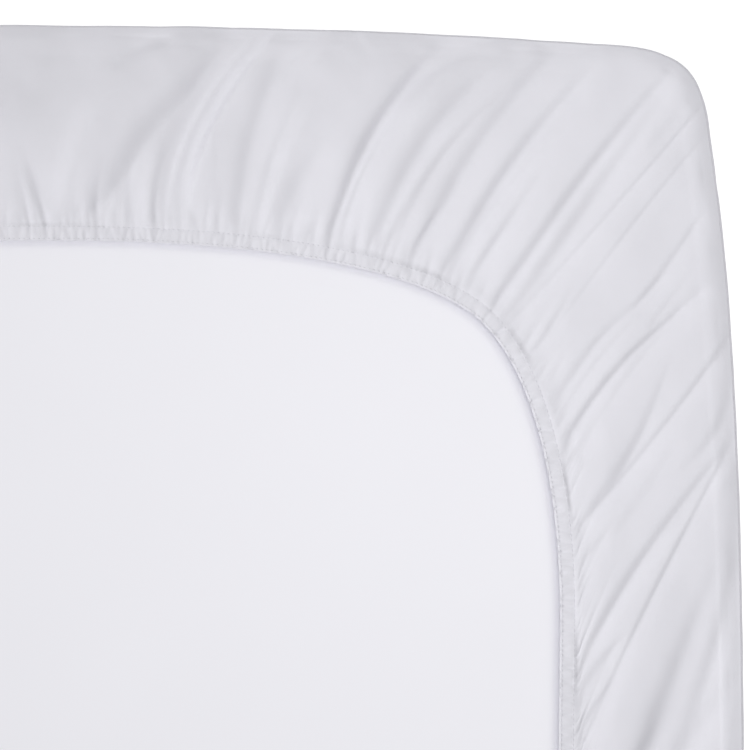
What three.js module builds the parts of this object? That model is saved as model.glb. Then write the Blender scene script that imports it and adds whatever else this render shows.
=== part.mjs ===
// A fitted waterproof protector on its crib mattress. The mattress lies on its sleeping face,
// so the turned, elastic-gathered hem opens upwards. Millimetres, +Z up, and the origin is on
// the surface under the middle of the mattress, with the long side along Y.

import * as THREE from "three";

// ---- driving dimensions ----

const HALF_WIDTH = 346; // of the covered mattress, along X
const HALF_LENGTH = 655.5; // along Y
const FOAM_DEPTH = 125;
const CLOTH = 2; // thickness of the cloth
const GAP = 0.3; // between the cloth and a face of the mattress

const FOAM_BOTTOM = CLOTH + GAP;
const FOAM_TOP = FOAM_BOTTOM + FOAM_DEPTH;
const FLAP_UNDER = FOAM_TOP + GAP; // where the turned-over cloth lies on the mattress
const FLAP_TOP = FLAP_UNDER + CLOTH;

const CASING_WIDTH = 8; // the turned hem, from its fold to its stitching
const CASING_RISE = 1.1; // how far it stands above the flat flap
const CASING_DIP = 0.5; // how far a fold pulls it down
const CASING_CREST = 4; // from the hem's fold out to its highest line
const HEM_FOLD_DROP = 0.4; // of the fold itself, under the flat flap
const HEM_TURN = 2.2; // from the hem's fold out to where it rests on the mattress

const FOLD_HALF_WIDTH = 8; // of a valley in the gathers
const EDGE_DIP = 0.6; // how far a deep fold presses into the mattress's edge

const SEEN_SPACING = 13; // of the columns of faces, in the corner with all its folds
const PLAIN_SPACING = 34; // along the sides elsewhere
const CORNER_SPACING = 15; // and round the other corners
const CORNER = { x: 300, y: 595 }; // where the sides end and a corner begins

// ---- plan of one quarter, from the middle of the short side to the middle of the long one ----

const outlineQuarter = new THREE.Path()
  .moveTo(0, HALF_LENGTH)
  .bezierCurveTo(110, HALF_LENGTH, 190, 653, 284, 646)
  .bezierCurveTo(312, 643.7, 325.8, 637.2, 329.3, 604) // the corner
  .bezierCurveTo(337.8, 546, 347.5, 470, HALF_WIDTH, 200)
  .lineTo(HALF_WIDTH, 0);

const hemQuarter = new THREE.Path()
  .moveTo(0, 551)
  .lineTo(16, 551)
  .bezierCurveTo(100, 551, 180, 540.5, 214, 515.5)
  .bezierCurveTo(236, 499, 258, 450, 256.5, 360)
  .bezierCurveTo(255.5, 240, 253, 120, 253, 0);

// ---- the wall in section, from the sleeping face up and over the mattress's edge ----
// inset: inwards from the outline. z: height above the surface.

const WALL = [
  { inset: 24, z: 0 },
  { inset: 11, z: 2.6 },
  { inset: 3.4, z: 12 },
  { inset: 0.3, z: 36 },
  { inset: 0, z: 90 },
  { inset: 0.6, z: 120 },
  { inset: 3, z: 127.6 },
  { inset: 8.5, z: 129.3 },
];

// The mattress in section, clear of the cloth's inside by 2 mm round its edges.
const FOAM = [
  { inset: 24.5, z: FOAM_BOTTOM },
  { inset: 14, z: 5.4 },
  { inset: 7.6, z: 15 },
  { inset: 3, z: 38 },
  { inset: 2.5, z: 72 },
  { inset: 2.9, z: 98 },
  { inset: 4.2, z: 112 },
  { inset: 5.8, z: 120.6 },
  { inset: 9.2, z: 124.8 },
  { inset: 16, z: FOAM_TOP },
];
const BARE_SHARE = 0.62; // of the mattress's face that lies well inside the hem

// ---- the flap in section, from the hem's stitching to the wall ----
// along: 0 at the stitching, 1 at the wall. rise: share of a gather's lift.

const FLAP = [
  { along: 0.12, rise: 0.5 },
  { along: 0.3, rise: 0.86 },
  { along: 0.5, rise: 1 },
  { along: 0.75, rise: 0.8 },
  { along: 0.92, rise: 0.4 },
];

// ---- folds of one quarter, in order round the mattress ----
// hem, mid, edge: where a valley starts, its middle, and where it meets the outline.
// lift: height of the gathers beside it. deep: share of the lift that it takes away at its
// hem end, middle and edge end.

const FOLDS = [
  { hem: [10, 551], mid: [-5, 600], edge: [-22, 655], lift: 3.4, deep: [0.8, 0.4, 0] },
  { hem: [28, 551], mid: [48, 599], edge: [112, 654], lift: 4.2, deep: [0.9, 1, 0.7] },
  { hem: [62, 550], mid: [70, 598], edge: [119, 654], lift: 4, deep: [0.9, 0.6, 0] },
  { hem: [92, 548], mid: [103, 598], edge: [134, 653], lift: 4, deep: [0.8, 0.7, 0.4] },
  { hem: [113, 546], mid: [133, 597], edge: [168, 652], lift: 3.8, deep: [0.7, 0.5, 0.1] },
  { hem: [139, 541], mid: [162, 600], edge: [207, 650], lift: 4.2, deep: [1, 1, 0.7] },
  { hem: [160, 536], mid: [188, 600], edge: [240, 648], lift: 4.2, deep: [0.8, 0.8, 0.5] },
  { hem: [181, 530], mid: [212, 594], edge: [256, 647], lift: 4.2, deep: [0.7, 0.4, 0.3] },
  { hem: [196, 524], mid: [229, 588], edge: [275, 646], lift: 4.2, deep: [1, 0.8, 0.2] },
  { hem: [208, 519], mid: [244, 583], edge: [290, 645], lift: 4.2, deep: [0.7, 0.2, 0] },
  { hem: [219, 512], mid: [259, 575], edge: [306, 641], lift: 4.2, deep: [1, 1, 0.6] },
  { hem: [224, 507], mid: [268, 567], edge: [317, 635], lift: 3.8, deep: [0.6, 0.7, 0.3] },
  { hem: [228, 501], mid: [277, 561], edge: [327, 618], lift: 3.2, deep: [0.5, 0.6, 0.5] },
  { hem: [239, 481], mid: [288, 555], edge: [329, 600], lift: 3, deep: [0, 0.4, 0.3] },
  { hem: [247, 462], mid: [289, 521], edge: [331, 588], lift: 2.8, deep: [0.9, 0.7, 0.2] },
  { hem: [251, 441], mid: [293, 504], edge: [335, 556], lift: 2.7, deep: [0.9, 0.9, 0.3] },
  { hem: [255, 403], mid: [293, 463], edge: [339, 522], lift: 2.6, deep: [0.9, 0.8, 0.3] },
  { hem: [256, 392], mid: [299, 452], edge: [340, 506], lift: 2.6, deep: [0.1, 0.6, 0.4] },
  { hem: [256, 378], mid: [299, 432], edge: [341, 488], lift: 2.6, deep: [0.7, 0.4, 0.1] },
  { hem: [256, 330], mid: [297, 402], edge: [342, 470], lift: 2.8, deep: [1, 1, 0.5] },
  { hem: [256, 292], mid: [304, 389], edge: [343, 452], lift: 2.9, deep: [0.3, 0.9, 0.6] },
  { hem: [256, 232], mid: [302, 320], edge: [344, 415], lift: 3, deep: [0.6, 1, 0.6] },
  { hem: [255, 198], mid: [311, 296], edge: [344, 388], lift: 3, deep: [0.7, 0.8, 0.5] },
  { hem: [255, 150], mid: [304, 230], edge: [345, 322], lift: 3, deep: [0.9, 0.8, 0.4] },
  { hem: [254, 112], mid: [303, 180], edge: [346, 258], lift: 3, deep: [0.7, 0.6, 0.3] },
  { hem: [254, 76], mid: [301, 128], edge: [346, 190], lift: 3, deep: [0.9, 0.7, 0.2] },
  { hem: [253, 40], mid: [300, 76], edge: [346, 118], lift: 3, deep: [0.7, 0.5, 0.2] },
  { hem: [253, 8], mid: [300, 26], edge: [346, 46], lift: 3, deep: [0.8, 0.4, 0] },
];

// The other quarters repeat every second fold, mirrored. share: how deep they are there.
const QUARTERS = [
  { x: 1, y: 1, all: true, share: 1 },
  { x: 1, y: -1, all: false, share: 0.85 },
  { x: -1, y: -1, all: false, share: 0.95 },
  { x: -1, y: 1, all: false, share: 0.8 },
];

// ---- a closed loop made of a quarter and its mirror images ----

const LOOP_STEPS = 300;

function loopOf(quarter) {
  const points = quarter.getSpacedPoints(LOOP_STEPS);
  const mirror = (x, y) => points.map((p) => new THREE.Vector2(p.x * x, p.y * y));
  const loop = [
    ...points,
    ...mirror(1, -1).reverse().slice(1),
    ...mirror(-1, -1).slice(1),
    ...mirror(-1, 1).reverse().slice(1, -1),
  ];
  const count = loop.length;

  // place: a number from 0 to count, wrapping round
  function at(place) {
    const wrapped = ((place % count) + count) % count;
    const low = Math.floor(wrapped);
    return loop[low].clone().lerp(loop[(low + 1) % count], wrapped - low);
  }
  function inward(place) {
    const along = at(place + 2).sub(at(place - 2)).normalize();
    return new THREE.Vector2(along.y, -along.x);
  }
  function nearest(x, y) {
    let best = 0;
    loop.forEach((p, i) => {
      if (Math.hypot(p.x - x, p.y - y) < Math.hypot(loop[best].x - x, loop[best].y - y)) best = i;
    });
    return best;
  }
  return { count, at, inward, nearest };
}

const outline = loopOf(outlineQuarter);
const hem = loopOf(hemQuarter);

// ---- columns: where each vertical strip of the cloth's faces starts and ends ----

function foldsOfQuarter({ x, y, all, share }) {
  const chosen = all ? FOLDS : FOLDS.filter((_, i) => i % 2 === 1);
  const sparse = ([ex, ey]) => (ex > CORNER.x && ey > CORNER.y ? CORNER_SPACING : PLAIN_SPACING);
  const rows = chosen.map((fold) => ({
    hem: hem.nearest(fold.hem[0] * x, fold.hem[1] * y),
    edge: outline.nearest(fold.edge[0] * x, fold.edge[1] * y),
    mid: new THREE.Vector2(fold.mid[0] * x, fold.mid[1] * y),
    lift: fold.lift,
    deep: fold.deep.map((d) => d * share),
    spacing: all ? SEEN_SPACING : sparse(fold.edge),
  }));
  return x * y > 0 ? rows : rows.reverse();
}

function between(a, b, share, count) {
  const step = (((b - a) % count) + count) % count;
  return a + step * share;
}

function makeColumns() {
  const folds = QUARTERS.flatMap(foldsOfQuarter);
  return folds.flatMap((fold, i) => {
    const next = folds[(i + 1) % folds.length];
    const width = fold.mid.distanceTo(next.mid);
    const strips = Math.max(1, Math.round(width / Math.min(fold.spacing, next.spacing)));
    return Array.from({ length: strips }, (_, k) => {
      const share = k / strips;
      return {
        hem: between(fold.hem, next.hem, share, hem.count),
        edge: between(fold.edge, next.edge, share, outline.count),
        mid: fold.mid.clone().lerp(next.mid, share),
        lift: THREE.MathUtils.lerp(fold.lift, next.lift, share),
        valleys: [
          { deep: fold.deep, away: width * share },
          { deep: next.deep, away: width * (1 - share) },
        ],
      };
    });
  });
}

// How far down the valleys beside a column pull it, as a share of its lift.
function dip(column, along) {
  return column.valleys.reduce((sum, { deep, away }) => {
    const [start, middle, end] = deep;
    const half = along < 0.5 ? [start, middle, along * 2] : [middle, end, along * 2 - 1];
    return sum + THREE.MathUtils.lerp(...half) * Math.exp(-((away / FOLD_HALF_WIDTH) ** 2));
  }, 0);
}

// ---- places on a column ----

function wallPoint(column, inset, z) {
  const p = outline.at(column.edge).addScaledVector(outline.inward(column.edge), inset);
  return new THREE.Vector3(p.x, p.y, z);
}

function casingPoint(column, outward, z) {
  const p = hem.at(column.hem).addScaledVector(hem.inward(column.hem), -outward);
  return new THREE.Vector3(p.x, p.y, z);
}

function flapPoint(column, along, rise, thickness) {
  const start = casingPoint(column, CASING_WIDTH, 0);
  const end = wallPoint(column, WALL.at(-1).inset, 0);
  const mid = new THREE.Vector3(column.mid.x, column.mid.y, 0);
  const pull = mid.multiplyScalar(2).sub(start.clone().add(end).multiplyScalar(0.5));
  const p = new THREE.QuadraticBezierCurve3(start, pull, end).getPoint(along);
  const lifted = column.lift * rise * (1 - Math.min(1, dip(column, along)));
  p.z = FLAP_TOP + lifted - thickness;
  return p;
}

// The wall's section moved inwards by the cloth's thickness.
function innerSide(section) {
  return section.map((row, i) => {
    const before = section[Math.max(0, i - 1)];
    const after = section[Math.min(section.length - 1, i + 1)];
    const flat = i === 0;
    const run = flat ? 1 : before.inset - after.inset;
    const climb = flat ? 0 : after.z - before.z;
    const length = Math.hypot(run, climb);
    return { inset: row.inset + (CLOTH * climb) / length, z: row.z + (CLOTH * run) / length };
  });
}

// ---- rings to a closed solid ----

function loft(rings, firstCentre, lastCentre) {
  const size = rings[0].length;
  const corners = [...rings.flat(), firstCentre, lastCentre];
  const faces = [];
  rings.slice(1).forEach((_, r) => {
    for (let c = 0; c < size; c += 1) {
      const next = (c + 1) % size;
      const [a, b] = [r * size + c, r * size + next];
      faces.push([a, b, b + size], [a, b + size, a + size]);
    }
  });
  const last = (rings.length - 1) * size;
  for (let c = 0; c < size; c += 1) {
    const next = (c + 1) % size;
    faces.push([corners.length - 2, next, c]);
    faces.push([corners.length - 1, last + c, last + next]);
  }
  const volume = faces.reduce((sum, [a, b, c]) => {
    return sum + corners[a].dot(corners[b].clone().cross(corners[c]));
  }, 0);
  const outward = volume > 0 ? faces : faces.map(([a, b, c]) => [a, c, b]);
  const geometry = new THREE.BufferGeometry().setFromPoints(corners);
  geometry.setIndex(outward.flat());
  geometry.computeVertexNormals();
  return geometry;
}

// ---- the two solids ----

function protectorGeometry(columns) {
  const ring = (place) => columns.map(place);
  const pressed = (column, i) => (i >= WALL.length - 2 ? EDGE_DIP * dip(column, 1) : 0);
  const wall = (section) =>
    section.map(({ inset, z }, i) => ring((c) => wallPoint(c, inset, z - pressed(c, i))));
  const flap = (thickness) =>
    FLAP.map(({ along, rise }) => ring((c) => flapPoint(c, along, rise, thickness)));
  const casing = [
    ring((c) => casingPoint(c, CASING_WIDTH, FLAP_TOP)),
    ring((c) => casingPoint(c, CASING_CREST, FLAP_TOP + CASING_RISE - CASING_DIP * dip(c, 0))),
    ring((c) => casingPoint(c, 0, FLAP_TOP - HEM_FOLD_DROP)),
    ring((c) => casingPoint(c, HEM_TURN, FLAP_UNDER)),
    ring((c) => casingPoint(c, CASING_WIDTH, FLAP_UNDER)),
  ];
  const rings = [
    ...wall(WALL),
    ...flap(0).reverse(),
    ...casing,
    ...flap(CLOTH),
    ...wall(innerSide(WALL)).reverse(),
  ];
  return loft(rings, new THREE.Vector3(0, 0, 0), new THREE.Vector3(0, 0, CLOTH));
}

function mattressGeometry(columns) {
  const rings = FOAM.map(({ inset, z }) => columns.map((c) => wallPoint(c, inset, z)));
  const inPlan = new THREE.Vector3(BARE_SHARE, BARE_SHARE, 1);
  rings.push(rings.at(-1).map((p) => p.clone().multiply(inPlan)));
  return loft(rings, new THREE.Vector3(0, 0, FOAM_BOTTOM), new THREE.Vector3(0, 0, FOAM_TOP));
}

function named(name, geometry, colour, roughness) {
  const material = new THREE.MeshStandardMaterial({ color: colour, roughness, metalness: 0 });
  const mesh = new THREE.Mesh(geometry, material);
  mesh.name = name;
  return mesh;
}

const columns = makeColumns();
const everySecond = columns.filter((_, i) => i % 2 === 0);

const model = new THREE.Group();
model.add(named("protector", protectorGeometry(columns), 0xdcdbe1, 0.95));
model.add(named("mattress", mattressGeometry(everySecond), 0xefeef4, 0.85));

export default model;
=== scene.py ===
"""A fitted waterproof protector on its crib mattress, hem side up, as an add-on run as a script.

The tables give plan places in millimetres, with X across the mattress, Y along it and the
middle of the mattress at nought. MM turns them to metres when a mesh is made.
"""

import math

import bpy
import numpy as np
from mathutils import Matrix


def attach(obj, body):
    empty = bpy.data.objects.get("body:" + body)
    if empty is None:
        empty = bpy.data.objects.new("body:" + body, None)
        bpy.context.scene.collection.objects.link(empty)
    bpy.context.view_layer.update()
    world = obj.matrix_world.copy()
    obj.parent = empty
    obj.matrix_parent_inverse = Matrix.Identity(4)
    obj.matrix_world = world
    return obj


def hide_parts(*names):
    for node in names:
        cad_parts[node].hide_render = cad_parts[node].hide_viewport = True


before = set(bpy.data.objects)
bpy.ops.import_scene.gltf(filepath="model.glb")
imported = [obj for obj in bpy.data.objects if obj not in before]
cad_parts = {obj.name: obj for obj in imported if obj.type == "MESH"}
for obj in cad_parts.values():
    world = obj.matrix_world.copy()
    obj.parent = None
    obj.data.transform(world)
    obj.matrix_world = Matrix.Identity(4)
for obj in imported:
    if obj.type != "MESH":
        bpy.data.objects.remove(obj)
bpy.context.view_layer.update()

bl_info = {
    "name": "Fitted mattress protector",
    "version": (1, 0, 0),
    "blender": (4, 5, 0),
    "location": "View3D > Sidebar > Protector",
    "description": "Builds a gathered, fitted protector on its mattress, and a studio stage",
    "category": "Add Mesh",
}

MM = 0.001

# ---- sizes that the cloth and the mattress share, in millimetres ----

HALF_WIDTH = 346.0
HALF_LENGTH = 655.5
CLOTH = 2.0
GAP = 0.3
FOAM_BOTTOM = CLOTH + GAP
FOAM_TOP = FOAM_BOTTOM + 125.0
FLAP_UNDER = FOAM_TOP + GAP
FLAP_TOP = FLAP_UNDER + CLOTH
CASING_WIDTH = 8.0

# Quarter plans, from the middle of the short side to the middle of the long side.
OUTLINE_QUARTER = (
    ((0, HALF_LENGTH), (110, HALF_LENGTH), (190, 653), (284, 646)),
    ((284, 646), (312, 643.7), (325.8, 637.2), (329.3, 604)),
    ((329.3, 604), (337.8, 546), (347.5, 470), (HALF_WIDTH, 200)),
    ((HALF_WIDTH, 200), (HALF_WIDTH, 133), (HALF_WIDTH, 67), (HALF_WIDTH, 0)),
)
HEM_QUARTER = (
    ((0, 551), (5, 551), (11, 551), (16, 551)),
    ((16, 551), (100, 551), (180, 540.5), (214, 515.5)),
    ((214, 515.5), (236, 499), (258, 450), (256.5, 360)),
    ((256.5, 360), (255.5, 240), (253, 120), (253, 0)),
)

# The wall in section: inset from the outline, height where the edge is soft, how much of
# the gathers' lift a tight edge adds to it, and rows of faces up to it.
WALL = (
    (24.0, 0.0, 0.0, 1),
    (11.0, 2.6, 0.0, 2),
    (3.4, 12.0, 0.0, 2),
    (0.3, 36.0, 0.0, 3),
    (0.0, 72.0, 0.0, 3),
    (0.05, 101.0, 0.0, 2),
    (0.1, 115.0, 0.2, 2),
    (0.25, 122.0, 0.6, 2),
    (0.45, 125.3, 0.85, 2),
    (0.7, 126.5, 0.95, 2),
    (1.0, 127.2, 1.0, 1),
    (1.5, 127.42, 1.0, 1),
    (2.9, 127.97, 1.0, 1),
    (4.4, 128.55, 1.0, 1),
    (5.8, 129.0, 1.0, 1),
    (8.0, 129.5, 0.98, 2),
)

ROLL_FROM = 105.0  # height over which the wall's insets follow the width of the roll
EDGE_FROM = 6  # number of the wall's row above which it takes part in the folds
TURN_ROW = 10  # number of the wall's row where the cloth turns over the mattress's edge

# The mattress in section: inset from the outline, and height.
FOAM = (
    (24.5, FOAM_BOTTOM),
    (14.0, 5.4),
    (7.6, 15.0),
    (3.0, 38.0),
    (2.5, 72.0),
    (2.9, 101.0),
    (3.6, 115.0),
    (6.0, 120.4),
    (10.0, 123.0),
    (17.0, 124.6),
    (24.0, 125.0),
)

# Where the hem presses into the mattress: distance inwards from the hem's fold, and depth.
PRESSED = (
    (14.0, 0.0),
    (9.0, 0.02),
    (6.5, 0.08),
    (5.0, 0.17),
    (3.8, 0.34),
    (2.8, 0.65),
    (1.9, 1.15),
    (1.1, 1.6),
    (0.4, 2.05),
    (-0.5, 2.35),
    (-2.0, 2.4),
    (-5.0, 1.5),
    (-8.0, 0.4),
    (-11.0, 0.05),
    (-16.0, 0.0),
)

# The flap in section, from the wall to the stitching: share of the way out from the
# stitching, share of the gathers' lift, and rows of faces up to it.
FLAP = (
    (0.92, 0.42, 5),
    (0.75, 0.8, 7),
    (0.5, 1.0, 10),
    (0.28, 0.85, 9),
    (0.12, 0.5, 8),
    (0.04, 0.2, 4),
)

# The turned hem in section, from its stitching over its crest to its underside:
# distance out from the hem's fold, height over the flat flap, and rows of faces up to it.
CASING = (
    (8.0, 0.15, 2),
    (7.0, 0.3, 2),
    (5.4, 0.5, 2),
    (3.6, 0.55, 2),
    (1.9, 0.5, 2),
    (0.3, 0.35, 2),
    (0.0, 0.0, 2),
    (0.7, -1.4, 2),
    (2.7, -3.2, 2),
)

# How the columns of faces lean, in one quarter: each row's hem end, middle and outer end,
# the height of the gathers there, how wide the cloth rolls over the mattress's edge, and
# how tight it is there (below nought where it sags).
LEAN = (
    ((10, 551), (-2, 600), (-12, 655), 3.7, 0.8, -0.15),
    ((19, 551), (21, 601), (32, 655), 4.1, 0.8, -0.15),
    ((28, 551), (44, 603), (90, 654), 4.5, 0.8, -0.15),
    ((62, 550), (74, 598), (119, 654), 4.1, 0.85, -0.15),
    ((92, 548), (104, 599), (136, 653), 4.2, 0.85, -0.15),
    ((113, 546), (133, 597), (168, 652), 4.2, 0.85, -0.15),
    ((139, 541), (162, 604), (207, 650), 4.4, 0.85, -0.25),
    ((160, 536), (188, 600), (235, 648), 4.3, 0.85, -0.2),
    ((196, 524), (228, 588), (275, 646), 4.2, 0.85, -0.1),
    ((219, 514), (260, 577), (308, 641), 4.2, 0.95, 0.3),
    ((228, 501), (277, 561), (327, 618), 3.2, 1.0, 0.7),
    ((247, 462), (289, 521), (331, 588), 2.8, 1.0, 0.85),
    ((255, 403), (293, 463), (339, 522), 2.5, 1.0, 0.85),
    ((256, 330), (297, 402), (342, 470), 2.3, 1.0, 0.85),
    ((256, 232), (302, 320), (344, 415), 2.2, 1.0, 0.85),
    ((255, 150), (304, 230), (345, 322), 2.4, 1.0, 0.85),
    ((254, 76), (301, 128), (346, 190), 3.4, 1.0, 0.85),
    ((253, 8), (300, 26), (346, 46), 3.2, 1.0, 0.85),
)

# Folds of the seen corner. Each row: three places along it, from the hem outwards, the
# depth in the middle (a ridge is below nought), the half width of its upper-left flank and
# the width of its lower-right one, and the share of the depth at its two ends.
FOLDS = (
    # the short side
    ((-40, 560), (-40, 604), (-38, 652), -4.6, 10.0, 18.0, 0.4, 0.8),
    ((9, 626), (11, 641), (13, 655), 1.5, 9.0, 12.0, 0.1, 1.0),
    ((11, 556), (4, 573), (-3, 587), 1.6, 4.0, 5.0, 0.9, 0.1),
    ((21, 556), (22, 562), (23, 570), 0.6, 1.6, 1.6, 1.0, 0.2),
    ((18, 596), (34, 622), (57, 651), 0.7, 4.0, 4.0, 0.2, 1.0),
    ((12, 570), (27, 612), (57, 644), -2.4, 5.0, 9.0, 0.3, 0.9),
    ((40, 640), (50, 647), (63, 653), 1.3, 3.0, 3.5, 0.4, 1.0),
    ((31, 561), (58, 607), (104, 652), 3.4, 5.5, 10.0, 0.8, 0.9),
    ((62, 558), (70, 602), (106, 650), 3.1, 4.5, 5.0, 0.8, 1.1),
    ((48, 557), (47, 568), (47, 584), 1.1, 1.8, 2.2, 1.0, 0.2),
    ((40, 558), (40, 566), (39, 575), -0.8, 2.4, 2.4, 0.9, 0.2),
    ((56, 559), (56, 574), (59, 592), -1.2, 3.4, 3.4, 0.8, 0.2),
    ((64, 556), (68, 586), (81, 617), 1.1, 1.8, 1.4, 1.0, 0.4),
    ((66, 562), (76, 604), (108, 651), -1.4, 1.5, 2.0, 0.7, 1.1),
    ((71, 562), (78.5, 602), (104, 641), 1.1, 1.7, 2.2, 0.7, 0.8),
    ((76, 562), (86, 603), (117, 652), -2.8, 2.2, 4.4, 0.4, 1.2),
    ((78, 556), (77, 563), (76, 571), 0.9, 1.4, 1.4, 1.0, 0.2),
    ((98, 555), (106.5, 605), (126, 653), 1.4, 3.6, 4.2, 1.2, 1.2),
    ((103, 555), (103.5, 558), (104, 563), 0.5, 1.3, 1.3, 1.0, 0.3),
    ((110, 562), (116, 590), (127, 617), 0.6, 1.5, 1.6, 0.6, 0.2),
    ((113, 600), (123, 626), (138, 652), -0.8, 4.5, 5.0, 0.3, 1.0),
    ((113, 559), (120, 584), (131, 609), -0.7, 1.8, 2.4, 0.8, 0.3),
    ((118, 556), (128, 580), (141, 601), 1.7, 4.5, 5.0, 0.9, 0.1),
    ((118, 640), (127, 646), (138, 653), 0.6, 2.2, 2.6, 0.2, 1.0),
    ((140, 640), (147, 646), (156, 652), 0.8, 2.4, 3.0, 0.3, 1.0),
    ((133, 556), (148, 596), (166, 634), -1.3, 6.0, 6.0, 0.5, 0.3),
    ((144, 549), (167, 608), (205, 650), 2.5, 2.7, 2.2, 0.7, 1.3),
    ((147, 554), (167, 598), (200, 641), -0.5, 1.1, 1.1, 0.8, 0.7),
    ((150, 552), (168, 598), (199, 639), 0.7, 1.1, 1.2, 0.8, 1.0),
    ((157, 558), (176, 600), (204, 642), -1.2, 4.5, 4.5, 0.6, 0.4),
    ((164, 546), (189, 599), (229, 641), 1.6, 3.4, 3.6, 0.6, 0.9),
    ((171, 554), (190, 588), (210, 613), -0.7, 2.2, 2.2, 0.8, 0.3),
    ((178, 555), (197, 590), (222, 618), 0.9, 1.9, 2.2, 0.7, 0.6),
    ((183, 541), (188, 551), (194, 562), 1.1, 1.5, 1.6, 1.0, 0.4),
    ((195, 562), (217, 601), (253, 644), 2.5, 3.8, 4.5, 0.7, 1.0),
    ((200, 533), (226, 580), (258, 622), 2.3, 2.8, 2.8, 1.0, 0.6),
    ((203, 536), (226, 570), (253, 602), 0.5, 1.1, 1.2, 0.7, 0.3),
    ((211, 530), (225, 552), (243, 580), 1.7, 2.0, 2.2, 1.0, 0.2),
    ((224, 519), (260, 573), (299, 623), 1.8, 2.4, 1.9, 0.8, 0.5),
    # the corner, on both sides of its seam
    ((230, 514), (262, 560), (296, 610), 2.3, 3.4, 3.2, 0.8, 0.3),
    ((230, 509), (277, 561), (326, 618), 0.5, 0.9, 0.9, 0.8, 0.8),
    ((299, 596), (305, 604), (313, 613), 0.6, 2.4, 2.8, 0.4, 0.4),
    ((243, 497), (251, 509), (260, 526), 0.8, 1.4, 1.6, 1.0, 0.1),
    ((262, 520), (289, 556), (317, 591), 0.4, 1.0, 1.2, 0.4, 0.7),
    ((250, 481), (254, 489), (258, 497), 0.4, 1.4, 1.4, 1.0, 0.2),
    ((254, 474), (271, 499), (285, 516), 1.1, 2.0, 2.4, 1.0, 0.1),
    ((258, 470), (275, 494), (291, 512), 0.5, 1.2, 1.5, 0.6, 0.2),
    ((275, 504), (290, 518), (303, 531), 0.5, 1.3, 1.6, 0.3, 0.8),
    ((296, 524), (309, 541), (321, 559), 0.7, 1.5, 1.9, 0.5, 0.6),
    ((307, 513), (314, 520), (323, 528), 0.5, 2.0, 2.4, 0.3, 0.8),
    ((258, 453), (280, 485), (306, 511), 1.6, 1.8, 2.2, 1.0, 0.3),
    ((290, 497), (305, 510), (322, 525), 0.5, 1.2, 1.6, 0.5, 0.4),
    ((301, 512), (308, 521), (317, 534), 0.4, 1.6, 2.4, 0.8, 0.2),
    ((265, 447), (268, 453), (271, 461), 0.6, 1.8, 1.8, 1.0, 0.3),
    ((268, 456), (290, 488), (307, 508), 0.8, 2.0, 2.6, 0.4, 0.2),
    # the long side
    ((265, 414), (287, 444), (303, 479), 1.3, 2.4, 2.6, 0.9, 0.3),
    ((271, 419), (302, 456), (334, 499), 0.8, 1.4, 1.8, 0.5, 0.7),
    ((318, 445), (331, 459), (340, 477), 0.8, 2.4, 2.8, 0.3, 1.0),
    ((285, 414), (296, 429), (307, 447), 0.6, 3.0, 3.4, 0.8, 0.3),
    ((264, 391), (270, 400), (278, 410), 0.7, 1.8, 2.0, 1.0, 0.3),
    ((265, 379), (268, 385), (272, 392), 0.4, 1.6, 1.6, 1.0, 0.2),
    ((264, 340), (288, 386), (325, 438), 1.5, 2.2, 3.4, 0.9, 0.5),
    ((272, 352), (294, 386), (328, 430), -0.6, 2.8, 2.8, 0.6, 0.3),
    ((274, 323), (301, 380), (340, 455), 0.7, 1.2, 1.6, 0.9, 0.7),
    ((264, 330), (275, 346), (285, 359), 1.5, 2.1, 2.8, 1.0, 0.3),
    ((264, 310), (269, 320), (278, 334), 1.6, 1.8, 2.2, 1.0, 0.3),
    ((285, 262), (303, 321), (324, 380), 3.0, 4.6, 7.5, 0.8, 0.2),
    ((299, 272), (321, 326), (340, 391), 1.8, 3.0, 4.6, 0.9, 0.6),
    ((311, 299), (327, 321), (343, 340), 1.0, 1.5, 1.8, 0.7, 0.7),
    # further down the long side
    ((262, 232), (276, 272), (304, 318), 1.9, 2.8, 3.4, 1.0, 0.2),
    ((262, 196), (284, 236), (318, 282), 2.1, 3.0, 3.8, 1.0, 0.3),
    ((290, 206), (316, 250), (344, 300), 1.4, 3.4, 4.0, 0.4, 0.7),
    ((262, 158), (286, 194), (322, 232), 1.8, 3.0, 3.4, 1.0, 0.2),
    ((261, 124), (290, 164), (332, 214), 2.0, 3.4, 4.0, 1.0, 0.4),
    ((261, 92), (276, 112), (296, 134), 1.5, 2.8, 3.2, 1.0, 0.1),
    ((261, 62), (288, 88), (328, 118), 1.7, 3.6, 4.2, 1.0, 0.4),
    ((261, 30), (280, 42), (304, 58), 1.3, 3.0, 3.4, 1.0, 0.1),
    ((261, 6), (290, 14), (330, 30), 1.4, 3.6, 4.2, 1.0, 0.3),
)

FOLD_END = 0.25  # of a fold's length, over which it dies away past each end
FOLD_LEGS = 24  # straight legs in which a fold's line is measured
FOLD_STEEP = 1.5  # width of a fold's steep flank, in its half widths
FOLD_GENTLE = 2.7  # and of its gentle one, in the width that the table gives it

# Gathers beside the stitching: least and greatest spacing, how far out the shortest and
# the longest of them reach, half width, and share of the pucker depth.
PUCKERS = (
    ((3.6, 8.0), (4, 12), 1.2, 0.8),
    ((7, 17), (12, 34), 2.4, 1.2),
)

# Wrinkles across the turned hem: least and greatest spacing, half width, and depth.
HEM_WRINKLES = (
    ((1.7, 4.0), 0.8, 0.65),
    ((4.0, 9), 1.6, 0.8),
)

# Faint waves of the cloth: how many, their least and greatest length, and their depth.
WAVES = (
    (9, (12, 26), 0.05),
    (7, (35, 80), 0.4),
)

QUARTERS = (
    # sign of X, sign of Y, whether it is the corner that the tables were drawn for
    (1, 1, True),
    (1, -1, False),
    (-1, -1, False),
    (-1, 1, False),
)


# ---------------------------------------------------------------- settings


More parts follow.
